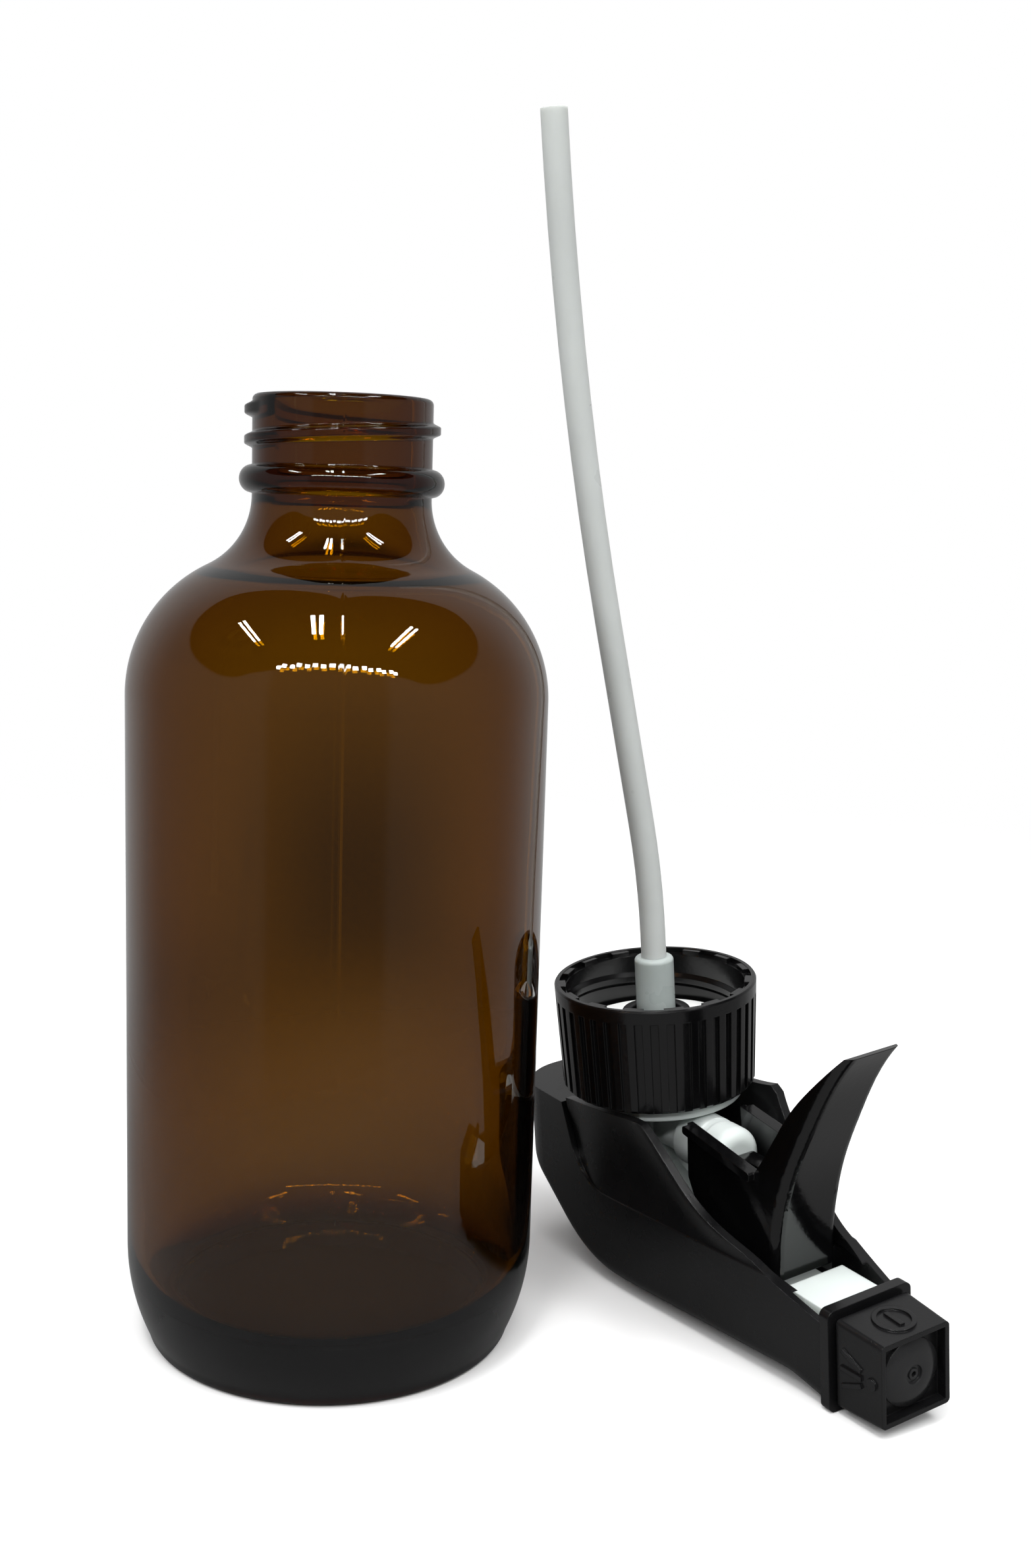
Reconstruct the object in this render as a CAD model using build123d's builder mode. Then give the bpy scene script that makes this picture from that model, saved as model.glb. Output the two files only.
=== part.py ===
"""Amber Boston-round spray bottle with its 28-400 trigger sprayer lifted off beside it.

The bottle stands on the origin. The sprayer is modelled upright in its own frame, origin at the
middle of the closure's open mouth, +X towards the nozzle and +Z away from the dip tube, and is
set down on its hood at SPRAYER_PLACE, mouth and dip tube upwards.
"""
from build123d import *
import os
from math import atan2, cos, degrees, radians, sin, sqrt

os.makedirs("parts", exist_ok=True)

# ---- driving dimensions, millimetres -------------------------------------------------
FIT = 0.05            # radial running clearance
GAP = 0.3             # clearance between pieces that move past each other

# bottle
BODY_R = 30.25
BOTTLE_H = 138.1
HEEL_TOP = 14.4
HEEL_R = 29.9         # the long curve in to the foot
HEEL_SWEEP = 25.0     # degrees of it
SHOULDER_Z = 95.8
SHOULDER_R = 20.7
NECK_FLARE_R = 11.1
NECK_R = 12.7
NECK_BORE_R = 9.6
GLASS = 2.3           # body wall
BASE_GLASS = 3.6
PUSH_UP = 1.8         # rise of the hollow underside
INNER_FLARE = (12.1, 116.9)      # points (radius, height) that the inside passes through
INNER_TURN = (17.79, 112.25)
INNER_SHOULDER = (25.15, 105.55)
INNER_HEEL = (26.6, 9.6)
INNER_FLOOR = (23.4, 6.0)
BEAD_R = 14.5         # transfer bead
BEAD_H = 4.0
BEAD_Z = BOTTLE_H - 11.7
THREAD_PITCH = 4.23   # six threads an inch
THREAD_R = 13.8
THREAD_TURNS = 1.15
THREAD_DROP = 6.7      # from the rim down to the neck thread's start
THREAD_START = 160.0   # degrees round the neck

# closure
CLOSURE_H = 17.0
CLOSURE_R = 16.1      # at the mouth
CLOSURE_TOP_R = 15.4
CLOSURE_BORE_R = 14.3
DECK_Z = 11.1          # underside of the closure's deck
DECK_WALL = 1.6
CLOSURE_HOLE_R = 10.35
PLAIN_BAND = 2.2
RIB_COUNT = 40
RIB_DEPTH = 0.6
BLOCK_COUNT = 15

# sprayer, in its own frame
SHOULDER_DISC_Z = 17.3
CHAMBER_Z = 23.8      # axis of the pump chamber
NOZZLE_Z = 41.8       # axis of the barrel and the nozzle
COLUMN_HALF = 4.2     # half width of the pump body's column and barrel
COLUMN_BACK_X = -7.5
COLUMN_FRONT_X = 3.0
BARREL_LOW_Z = 38.2
BOX_BACK_X = 37.6     # wider box at the front of the barrel
BOX_FRONT_X = 47.2
BOX_LOW_Z = 35.9
BOX_HALF = 5.3
STEM_FRONT_X = 54.0
BODY_TOP_Z = 45.4
HOOD_TOP_Z = 47.4
HOOD_BOTTOM_Z = 21.0  # underside of the hood behind the closure
HOOD_REAR_X = -25.0
HOOD_FRONT_X = 47.6
HOOD_HALF = 13.0      # half width over the closure
HOOD_NOSE_HALF = 7.4  # half width at the nozzle
CREASE_Z = 33.2       # where the hood steps in to its skirt
SKIRT_REAR_Z = 20.0   # edge of the hood's skirt beside the closure, at the back
LIP_CORNER = (14.5, 17.0)         # X and Z of the skirt's front corner
WALL = 1.4
EDGE_ROUND = 2.4      # along the hood's upper edges
FLANGE_HALF = 7.7
FLANGE_FRONT_X = 49.4
NOZZLE_BACK_X = 50.0
NOZZLE_FRONT_X = 58.5
NOZZLE_HALF = 6.7
STEM_R = 3.2

# trigger
PIVOT_X = 27.0
PIVOT_Z = 40.5
PIVOT_R = 1.6
ARM_HALF = 5.8
ARM_WALL = 1.0
TIP_HALF = 4.6
FINGER_WALL = 1.4
ARM_REAR = (15.2, 18.2)           # X and Z of the side plates' lower rear corner
ARM_FRONT = (31.5, 20.4)          # where their lower edge meets the finger
ARM_LIP = 1.4
PUSHER_R = 1.5

# pump chamber and valves
CHAMBER_R = 2.8
CYLINDER_R = 3.6
CYLINDER_FRONT_X = 12.4
PLUG_X = -6.0         # inner end of the plugs in the column's back
PISTON_R = 4.5
PISTON_WAIST_R = 4.2
PISTON_NOSE_X = 20.6
PUMP_STROKE = 6.2
TUBE_R = 2.0
TUBE_BORE_R = 1.35
BALL_R = 1.6

# where the sprayer lies: turned about, upside down and leaning on one edge of its hood
SPRAYER_TURN = -58.9
SPRAYER_LEAN = 6.0
SPRAYER_PLACE = (
    Pos(49.1, 19.3, 50.05) * Rot(Z=SPRAYER_TURN) * Rot(X=180 + SPRAYER_LEAN)
)


def save(piece, name, place=Location()):
    """Write one finished piece where it rests."""
    placed = piece.part.moved(place)
    placed.label = name
    export_step(placed, f"parts/{name}.step")


def disc(radius, low, high, mode=Mode.ADD):
    """A cylinder about Z between two heights, in the part being built."""
    with BuildSketch(Plane.XY.offset(low)) as section:
        Circle(radius)
    extrude(section.sketch, amount=high - low, mode=mode)


def ring(outer, inner, low, high, mode=Mode.ADD):
    """A flat ring about Z between two heights, in the part being built."""
    with BuildSketch(Plane.XY.offset(low)) as section:
        Circle(outer)
        Circle(inner, mode=Mode.SUBTRACT)
    extrude(section.sketch, amount=high - low, mode=mode)


def rod(radius, back, front, height, mode=Mode.ADD):
    """A cylinder along X at one height, in the part being built."""
    with BuildSketch(Plane.YZ.offset(back)) as section:
        with Locations((0, height)):
            Circle(radius)
    extrude(section.sketch, amount=front - back, mode=mode)


def block(back, front, half, low, high, mode=Mode.ADD):
    """A box centred on the sprayer's middle plane, in the part being built."""
    with BuildSketch(Plane.XZ) as section:
        with Locations(((back + front) / 2, (low + high) / 2)):
            Rectangle(front - back, high - low)
    extrude(section.sketch, amount=half, both=True, mode=mode)


def thread(radius, depth, base, turns, inward):
    """A helical ridge of rounded trapezoid section, standing on a wall at the given radius."""
    sink = 0.35
    side = -1 if inward else 1
    with BuildPart() as ridge:
        with BuildLine() as path:
            Helix(THREAD_PITCH, THREAD_PITCH * turns, radius, center=(0, 0, base))
        with BuildSketch(Plane(origin=path.line @ 0, x_dir=(side, 0, 0), z_dir=path.line % 0)):
            with BuildLine():
                Polyline(
                    (-sink, -1.25), (0, -1.15), (depth, -0.45), (depth, 0.45),
                    (0, 1.15), (-sink, 1.25), close=True,
                )
            make_face()
        sweep(path=path.line, is_frenet=True)
    return ridge.part


# ---- bottle --------------------------------------------------------------------------
neck_centre_r = NECK_R + NECK_FLARE_R
shoulder_centre_r = BODY_R - SHOULDER_R
neck_centre_z = SHOULDER_Z + sqrt(
    (SHOULDER_R + NECK_FLARE_R) ** 2 - (neck_centre_r - shoulder_centre_r) ** 2
)
touch = SHOULDER_R / (SHOULDER_R + NECK_FLARE_R)
touch_r = shoulder_centre_r + (neck_centre_r - shoulder_centre_r) * touch
touch_z = SHOULDER_Z + (neck_centre_z - SHOULDER_Z) * touch


def arc_point(centre_r, centre_z, radius, angle):
    return (centre_r + radius * cos(radians(angle)), centre_z + radius * sin(radians(angle)))


foot_r, foot_h = arc_point(BODY_R - HEEL_R, HEEL_TOP, HEEL_R, -HEEL_SWEEP)

with BuildPart() as bottle:
    with BuildSketch(Plane.XZ):
        with BuildLine():
            Polyline((0, PUSH_UP), (foot_r - 4.5, 0.6), (foot_r - 3.6, 0), (foot_r - 0.9, 0),
                     (foot_r - 0.1, 0.6), (foot_r, foot_h))
            ThreePointArc((foot_r, foot_h),
                          arc_point(BODY_R - HEEL_R, HEEL_TOP, HEEL_R, -HEEL_SWEEP / 2),
                          (BODY_R, HEEL_TOP))
            Line((BODY_R, HEEL_TOP), (BODY_R, SHOULDER_Z))
            ThreePointArc((BODY_R, SHOULDER_Z),
                          arc_point(shoulder_centre_r, SHOULDER_Z, SHOULDER_R, 32), (touch_r, touch_z))
            ThreePointArc((touch_r, touch_z),
                          arc_point(neck_centre_r, neck_centre_z, NECK_FLARE_R, 212),
                          (NECK_R, neck_centre_z))
            Polyline((NECK_R, neck_centre_z), (NECK_R, BOTTLE_H), (NECK_BORE_R, BOTTLE_H),
                     (NECK_BORE_R, neck_centre_z - 1))
            ThreePointArc((NECK_BORE_R, neck_centre_z - 1), INNER_FLARE, INNER_TURN)
            ThreePointArc(INNER_TURN, INNER_SHOULDER, (BODY_R - GLASS, SHOULDER_Z))
            Line((BODY_R - GLASS, SHOULDER_Z), (BODY_R - GLASS, HEEL_TOP))
            ThreePointArc((BODY_R - GLASS, HEEL_TOP), INNER_HEEL, INNER_FLOOR)
            Line(INNER_FLOOR, (0, BASE_GLASS + PUSH_UP))
            Line((0, BASE_GLASS + PUSH_UP), (0, PUSH_UP))
        make_face()
    revolve(axis=Axis.Z)
    # transfer bead below the thread
    with BuildSketch(Plane.XZ):
        with Locations((BEAD_R - BEAD_H / 2, BEAD_Z)):
            RectangleRounded(BEAD_H, BEAD_H, BEAD_H / 2 - 0.15)
    revolve(axis=Axis.Z)
    fillet(bottle.edges().filter_by(GeomType.CIRCLE).group_by(Axis.Z)[-1], radius=0.8)
    neck_thread = thread(NECK_R, THREAD_R - NECK_R, BOTTLE_H - THREAD_DROP, THREAD_TURNS, inward=False)
    add(Rot(Z=THREAD_START) * neck_thread)

# ---- closure -------------------------------------------------------------------------
COLLAR_BORE_R = 13.6  # inside of the collar above the deck
with BuildPart() as groove:
    with BuildSketch(Plane.XZ):
        Polygon(
            (CLOSURE_R - RIB_DEPTH - 0.1, PLAIN_BAND), (CLOSURE_R + 1, PLAIN_BAND),
            (CLOSURE_R + 1, CLOSURE_H + 0.5), (CLOSURE_TOP_R - RIB_DEPTH, CLOSURE_H + 0.5), align=None,
        )
    extrude(amount=0.62, both=True)

with BuildPart() as closure:
    with BuildSketch(Plane.XZ):
        with BuildLine():
            Polyline((CLOSURE_BORE_R, 0.9), (CLOSURE_R - 0.85, 0.9), (CLOSURE_R - 0.8, 0),
                     (CLOSURE_R - 0.2, 0), (CLOSURE_R, 0.3), (CLOSURE_TOP_R, CLOSURE_H - 0.5),
                     (CLOSURE_TOP_R - 0.5, CLOSURE_H), (COLLAR_BORE_R, CLOSURE_H),
                     (COLLAR_BORE_R, DECK_Z + DECK_WALL), (CLOSURE_HOLE_R, DECK_Z + DECK_WALL),
                     (CLOSURE_HOLE_R, DECK_Z), (CLOSURE_BORE_R, DECK_Z), close=True)
        make_face()
    revolve(axis=Axis.Z)
    with PolarLocations(0, RIB_COUNT):
        add(groove.part, mode=Mode.SUBTRACT)
    # raised blocks on the ledge inside the lip
    with BuildSketch(Plane.XY.offset(0.1)):
        with PolarLocations((CLOSURE_BORE_R + CLOSURE_R - 0.7) / 2, BLOCK_COUNT):
            Rectangle(CLOSURE_R - 0.7 - CLOSURE_BORE_R, 3.0)
    extrude(amount=0.9)
    add(thread(CLOSURE_BORE_R, 0.45, 2.5, 1.2, inward=True))

# ---- pump body -----------------------------------------------------------------------
HUB_Z = 9.6            # underside of the hub that the gasket lies on
HUB_R = 13.3
PUMP_NECK_R = 10.0
SHOULDER_R_BACK = 9.6
SHOULDER_R_FRONT = 13.3
SHOULDER_LOBE_HALF = 10.0
SHOULDER_TOP_Z = 18.9
SOCKET_Z = 13.5        # end of the blind socket for the tube holder
HOLDER_R = 3.1
RING_R = 5.45          # black ring around the tube holder
RING_BORE_R = 4.45
with BuildPart() as pump_body:
    disc(HUB_R, HUB_Z, DECK_Z - GAP)
    disc(PUMP_NECK_R, HUB_Z, SHOULDER_DISC_Z)
    disc(SHOULDER_R_BACK, SHOULDER_DISC_Z, SHOULDER_TOP_Z)
    # the shoulder reaches further out in front, between the hood's skirts
    with BuildSketch(Plane.XY.offset(SHOULDER_DISC_Z)):
        Circle(SHOULDER_R_FRONT)
        with Locations((SHOULDER_R_FRONT / 2, 0)):
            Rectangle(SHOULDER_R_FRONT, 2 * SHOULDER_LOBE_HALF, mode=Mode.INTERSECT)
    extrude(amount=SHOULDER_TOP_Z - SHOULDER_DISC_Z)
    disc(HOLDER_R + FIT, HUB_Z - 0.1, SOCKET_Z, mode=Mode.SUBTRACT)
    ring(RING_R + FIT, RING_BORE_R - FIT, HUB_Z - 0.1, HUB_Z + 1.5, mode=Mode.SUBTRACT)
    # column and barrel, cut back under the slope of the hood
    with BuildSketch(Plane.XZ):
        Polygon((COLUMN_BACK_X, SHOULDER_TOP_Z), (COLUMN_FRONT_X, SHOULDER_TOP_Z),
                (COLUMN_FRONT_X, BARREL_LOW_Z), (BOX_BACK_X, BARREL_LOW_Z), (BOX_BACK_X, BODY_TOP_Z),
                (-1.0, BODY_TOP_Z), (COLUMN_BACK_X, BODY_TOP_Z - 2.6), align=None)
    extrude(amount=COLUMN_HALF, both=True)
    fillet(pump_body.edges().filter_by(Axis.X).group_by(Axis.Z)[-1], radius=1.2)
    block(BOX_BACK_X, BOX_FRONT_X, BOX_HALF, BOX_LOW_Z, BODY_TOP_Z)
    rod(STEM_R, BOX_FRONT_X, STEM_FRONT_X, NOZZLE_Z)
    rod(CYLINDER_R, COLUMN_FRONT_X - 0.1, CYLINDER_FRONT_X, CHAMBER_Z)
    # web under the barrel, between column and trunnion
    with BuildSketch(Plane.XZ.offset(-0.9)):
        Polygon((COLUMN_FRONT_X, 30.5), (COLUMN_FRONT_X, BARREL_LOW_Z + 0.1), (22.5, BARREL_LOW_Z + 0.1),
                align=None)
    extrude(amount=1.8)
    # trunnions that the trigger hangs on
    with BuildSketch(Plane.XZ.offset(-ARM_HALF - 0.3)):
        with Locations((PIVOT_X, PIVOT_Z)):
            Circle(PIVOT_R)
    extrude(amount=2 * (ARM_HALF + 0.3))
    # chamber bore, inlet, riser and delivery passage
    rod(CHAMBER_R, PLUG_X, CYLINDER_FRONT_X + 0.1, CHAMBER_Z, mode=Mode.SUBTRACT)
    rod(3.1, COLUMN_BACK_X - 0.1, PLUG_X, CHAMBER_Z, mode=Mode.SUBTRACT)
    disc(1.2, SOCKET_Z - 0.1, CHAMBER_Z - 2, mode=Mode.SUBTRACT)
    with BuildSketch(Plane.XY.offset(CHAMBER_Z + 2)):
        with Locations((-3.5, 0)):
            Circle(1.1)
    extrude(amount=NOZZLE_Z - CHAMBER_Z - 2, mode=Mode.SUBTRACT)
    rod(1.1, PLUG_X, 40.1, NOZZLE_Z, mode=Mode.SUBTRACT)
    rod(1.5, COLUMN_BACK_X - 0.1, PLUG_X, NOZZLE_Z, mode=Mode.SUBTRACT)
    rod(1.95, 40.0, STEM_FRONT_X + 0.1, NOZZLE_Z, mode=Mode.SUBTRACT)
    # groove for the nozzle seal
    with BuildSketch(Plane.YZ.offset(51.4)):
        with Locations((0, NOZZLE_Z)):
            Circle(STEM_R + 0.5)
            Circle(STEM_R - 0.5, mode=Mode.SUBTRACT)
    extrude(amount=1.1, mode=Mode.SUBTRACT)

with BuildPart() as chamber_plug:
    rod(3.05, COLUMN_BACK_X, PLUG_X, CHAMBER_Z)
    rod(2.3, PLUG_X, PLUG_X + 0.8, CHAMBER_Z)

with BuildPart() as passage_plug:
    rod(1.45, COLUMN_BACK_X, PLUG_X, NOZZLE_Z)

# ---- inlet side ----------------------------------------------------------------------
GASKET_Z = 8.3
with BuildPart() as gasket:
    ring(13.2, RING_R + 0.3, GASKET_Z, HUB_Z - FIT)

RING_Z = 5.2
RING_STEP_Z = 8.0
with BuildPart() as retaining_ring:
    ring(RING_R, RING_BORE_R, RING_Z, HUB_Z + 1.4)
    ring(RING_R, 3.9, RING_Z, RING_STEP_Z)
    fillet(retaining_ring.edges().group_by(Axis.Z)[0], radius=0.35)

with BuildPart() as tube_holder:
    disc(HOLDER_R, -3.6, SOCKET_Z)
    disc(RING_BORE_R - FIT, RING_STEP_Z + FIT, HUB_Z - FIT)
    fillet(tube_holder.edges().group_by(Axis.Z)[0], radius=0.7)
    disc(TUBE_R + 0.02, -3.7, 7.8, mode=Mode.SUBTRACT)
    disc(1.0, 7.7, 9.7, mode=Mode.SUBTRACT)
    disc(1.95, 9.6, SOCKET_Z + 0.1, mode=Mode.SUBTRACT)

BALL_REST_Z = SOCKET_Z - sqrt(BALL_R**2 - 1.2**2) - FIT
with BuildPart() as inlet_ball:
    with Locations((0, 0, BALL_REST_Z)):
        Sphere(BALL_R)

# The dip tube leaves the holder straight, bends aside and bends back: tangent arcs in one plane.
TUBE_TOP_Z = 7.0
TUBE_BEND_Z = -7.0
TUBE_SWING = 6.6      # degrees of each bend
tube_plane = Plane(origin=(0, 0, 0), x_dir=(-0.566, 0.824, 0), z_dir=(0.824, 0.566, 0))
with BuildPart() as dip_tube:
    with BuildLine(tube_plane) as tube_path:
        entry = Line((0, TUBE_TOP_Z), (0, TUBE_BEND_Z))
        bend = JernArc(entry @ 1, entry % 1, radius=160, arc_size=TUBE_SWING)
        lean = Line(bend @ 1, bend @ 1 + (bend % 1) * 32)
        JernArc(lean @ 1, lean % 1, radius=650, arc_size=-TUBE_SWING)
    with BuildSketch(Plane(origin=tube_path.line @ 0, z_dir=tube_path.line % 0)):
        Circle(TUBE_R)
        Circle(TUBE_BORE_R, mode=Mode.SUBTRACT)
    sweep(path=tube_path.line)

# ---- piston group --------------------------------------------------------------------
SEAL_X = 8.9           # back end of the seal and of the stem that carries it
with BuildPart() as piston:
    with BuildSketch(Plane.XY):
        with BuildLine():
            Polyline((9.6, 0), (9.6, PISTON_R), (14.4, PISTON_R))
            ThreePointArc((14.4, PISTON_R), (15.2, PISTON_WAIST_R), (16.0, PISTON_R))
            Line((16.0, PISTON_R), (PISTON_NOSE_X - 2.2, PISTON_R))
            ThreePointArc((PISTON_NOSE_X - 2.2, PISTON_R), (PISTON_NOSE_X - 0.6, 3.9), (PISTON_NOSE_X, 2.4))
            Polyline((PISTON_NOSE_X, 2.4), (PISTON_NOSE_X, 0), (9.6, 0))
        make_face()
    revolve(axis=Axis.X)
    rod(CYLINDER_R + GAP, 9.5, CYLINDER_FRONT_X + PUMP_STROKE + GAP, 0, mode=Mode.SUBTRACT)
    rod(1.7, SEAL_X, PISTON_NOSE_X - 1.5, 0)
    rod(2.3, SEAL_X + 2.5, SEAL_X + 3.3, 0)

with BuildPart() as piston_seal:
    rod(CHAMBER_R - FIT, SEAL_X, SEAL_X + 2.4, CHAMBER_Z)
    rod(1.75, SEAL_X - 0.1, SEAL_X + 2.5, CHAMBER_Z, mode=Mode.SUBTRACT)
    with BuildSketch(Plane.YZ.offset(SEAL_X + 0.8)):
        with Locations((0, CHAMBER_Z)):
            Circle(CHAMBER_R)
            Circle(CHAMBER_R - 0.35, mode=Mode.SUBTRACT)
    extrude(amount=0.8, mode=Mode.SUBTRACT)


def coil(radius, wire, back, front, turns, height):
    """A coil spring lying along X."""
    length = front - back - 2 * wire
    with BuildPart() as spring:
        with BuildLine() as path:
            Helix(length / turns, length, radius, center=(back + wire, 0, height), direction=(1, 0, 0))
        with BuildSketch(Plane(origin=path.line @ 0, z_dir=path.line % 0)):
            Circle(wire)
        sweep(path=path.line, is_frenet=True)
    return spring


return_spring = coil(2.0, 0.3, -5.1, SEAL_X - 0.1, 7, CHAMBER_Z)
outlet_spring = coil(1.2, 0.2, 42.7, 46.4, 5, NOZZLE_Z)

# ---- outlet side ---------------------------------------------------------------------
with BuildPart() as outlet_valve:
    rod(1.6, 40.6, 42.6, NOZZLE_Z)
    with BuildSketch(Plane.YZ.offset(40.6)):
        with Locations((0, NOZZLE_Z)):
            Circle(1.6)
    extrude(amount=-0.55, taper=45)
    rod(0.7, 42.6, 44.6, NOZZLE_Z)

with BuildPart() as swirl_insert:
    rod(1.9, 46.5, 53.9, NOZZLE_Z)
    # two flats carry the liquid forward to the swirl slots in the end
    with BuildSketch(Plane.YZ.offset(46.4)):
        with Locations((0, NOZZLE_Z + 1.9), (0, NOZZLE_Z - 1.9)):
            Rectangle(4, 1.2)
    extrude(amount=8, mode=Mode.SUBTRACT)
    with BuildSketch(Plane.YZ.offset(53.3)):
        with Locations((0, NOZZLE_Z)):
            Rectangle(0.5, 4)
            Circle(0.8)
    extrude(amount=1, mode=Mode.SUBTRACT)

with BuildPart() as nozzle_seal:
    with BuildSketch(Plane.YZ.offset(51.45)):
        with Locations((0, NOZZLE_Z)):
            Circle(STEM_R - 0.02)
            Circle(STEM_R - 0.5, mode=Mode.SUBTRACT)
    extrude(amount=1.0)
    fillet(nozzle_seal.edges(), radius=0.2)

# ---- nozzle --------------------------------------------------------------------------
RECESS_X = 56.9       # the recessed face that carries the orifice disc
SLEEVE_R = 4.5
NOZZLE_NOSE_HALF = 6.2
SYMBOL_H = 0.3


def nozzle_face(quarter):
    """The plane of one side of the nozzle, at mid length, facing out."""
    tilt = (NOZZLE_HALF - NOZZLE_NOSE_HALF) / (NOZZLE_FRONT_X - NOZZLE_BACK_X)
    middle = (NOZZLE_BACK_X + NOZZLE_FRONT_X) / 2
    out = Vector(tilt, 0, -1)
    base = Plane(
        origin=(middle, 0, -(NOZZLE_HALF + NOZZLE_NOSE_HALF) / 2), x_dir=(0, 1, 0), z_dir=out
    )
    return Plane(Pos(0, 0, NOZZLE_Z) * Rot(X=90 * quarter) * base.location)


with BuildPart() as nozzle_cap:
    with BuildSketch(Plane.YZ.offset(NOZZLE_BACK_X)):
        with Locations((0, NOZZLE_Z)):
            RectangleRounded(2 * NOZZLE_HALF, 2 * NOZZLE_HALF, 0.7)
    with BuildSketch(Plane.YZ.offset(NOZZLE_FRONT_X)):
        with Locations((0, NOZZLE_Z)):
            RectangleRounded(2 * NOZZLE_NOSE_HALF, 2 * NOZZLE_NOSE_HALF, 0.7)
    loft()
    # raised marks: two rings for closed, a bar for a jet, a fan of bars for a spray
    for quarter in (0, 2):
        with BuildSketch(nozzle_face(quarter)):
            Circle(3.1)
            Circle(2.4, mode=Mode.SUBTRACT)
            Rectangle(0.8, 3.4)
        extrude(amount=SYMBOL_H, both=True)
    with BuildSketch(nozzle_face(3)):
        with Locations((0, 1.2)):
            Circle(1.0)
        with Locations((0, -1.5)):
            Rectangle(0.8, 4.0)
    extrude(amount=SYMBOL_H, both=True)
    with BuildSketch(nozzle_face(1)):
        with Locations((0, 2.4)):
            Circle(0.9)
        with Locations((0, -1.4)):
            Rectangle(0.7, 4.0)
        with Locations(Location((-1.9, -1.3), -24), Location((1.9, -1.3), 24)):
            Rectangle(0.7, 4.0)
    extrude(amount=SYMBOL_H, both=True)
    # square recess in front
    with BuildSketch(Plane.YZ.offset(NOZZLE_FRONT_X)):
        with Locations((0, NOZZLE_Z)):
            Rectangle(2 * NOZZLE_NOSE_HALF - 1.5, 2 * NOZZLE_NOSE_HALF - 1.5)
    extrude(amount=RECESS_X - NOZZLE_FRONT_X, mode=Mode.SUBTRACT)
    # hollow back around the sleeve
    with BuildSketch(Plane.YZ.offset(NOZZLE_BACK_X)):
        with Locations((0, NOZZLE_Z)):
            Rectangle(2 * NOZZLE_HALF - 2.6, 2 * NOZZLE_HALF - 2.6)
            Circle(SLEEVE_R, mode=Mode.SUBTRACT)
    extrude(amount=RECESS_X - 2.3 - NOZZLE_BACK_X, mode=Mode.SUBTRACT)
    rod(STEM_R + FIT, NOZZLE_BACK_X - 0.1, 54.3, NOZZLE_Z, mode=Mode.SUBTRACT)
    rod(0.6, 54.2, RECESS_X + 0.1, NOZZLE_Z, mode=Mode.SUBTRACT)

with BuildPart() as orifice_disc:
    with BuildSketch(Plane.XZ):
        with BuildLine():
            Polyline((RECESS_X, 0), (RECESS_X, 5.0), (RECESS_X + 0.5, 5.0))
            ThreePointArc((RECESS_X + 0.5, 5.0), (RECESS_X + 1.1, 3.6), (RECESS_X + 1.3, 1.4))
            Polyline((RECESS_X + 1.3, 1.4), (RECESS_X + 0.9, 1.3), (RECESS_X + 0.9, 0.85),
                     (RECESS_X + 1.15, 0.8), (RECESS_X + 1.15, 0), (RECESS_X, 0))
        make_face()
    revolve(axis=Axis.X)
    rod(0.4, RECESS_X - 0.1, RECESS_X + 2, 0, mode=Mode.SUBTRACT)

# ---- hood ----------------------------------------------------------------------------


# X, half width at the crease, at the waist and at the edge, and height of the edge
SKIRT_SECTIONS = (
    (-9.5, 12.6, 12.4, 13.0, 19.2), (-2.0, 12.7, 12.2, 13.1, 18.3), (5.0, 12.3, 11.7, 13.1, 17.4),
    (12.0, 11.5, 10.9, 13.3, 16.4), (18.0, 10.8, 10.5, 13.1, 20.2), (24.0, 10.0, 10.1, 12.3, 25.8),
    (30.0, 9.3, 9.4, 10.7, 29.4), (38.0, 8.3, 8.2, 8.4, 31.0), (47.6, 7.3, 7.2, 7.2, 31.0),
)
# the skirt's front edge, from its corner to the nozzle's flange
LIP_LINE = (
    LIP_CORNER, (17.5, 20.6), (21.5, 24.6), (25.2, 27.8), (30.2, 30.6), (38.0, 33.6), (43.0, 35.2), (48.0, 36.6),
)
WAIST_SHARE = 0.45    # how far down from the crease to the edge the waist lies


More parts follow.
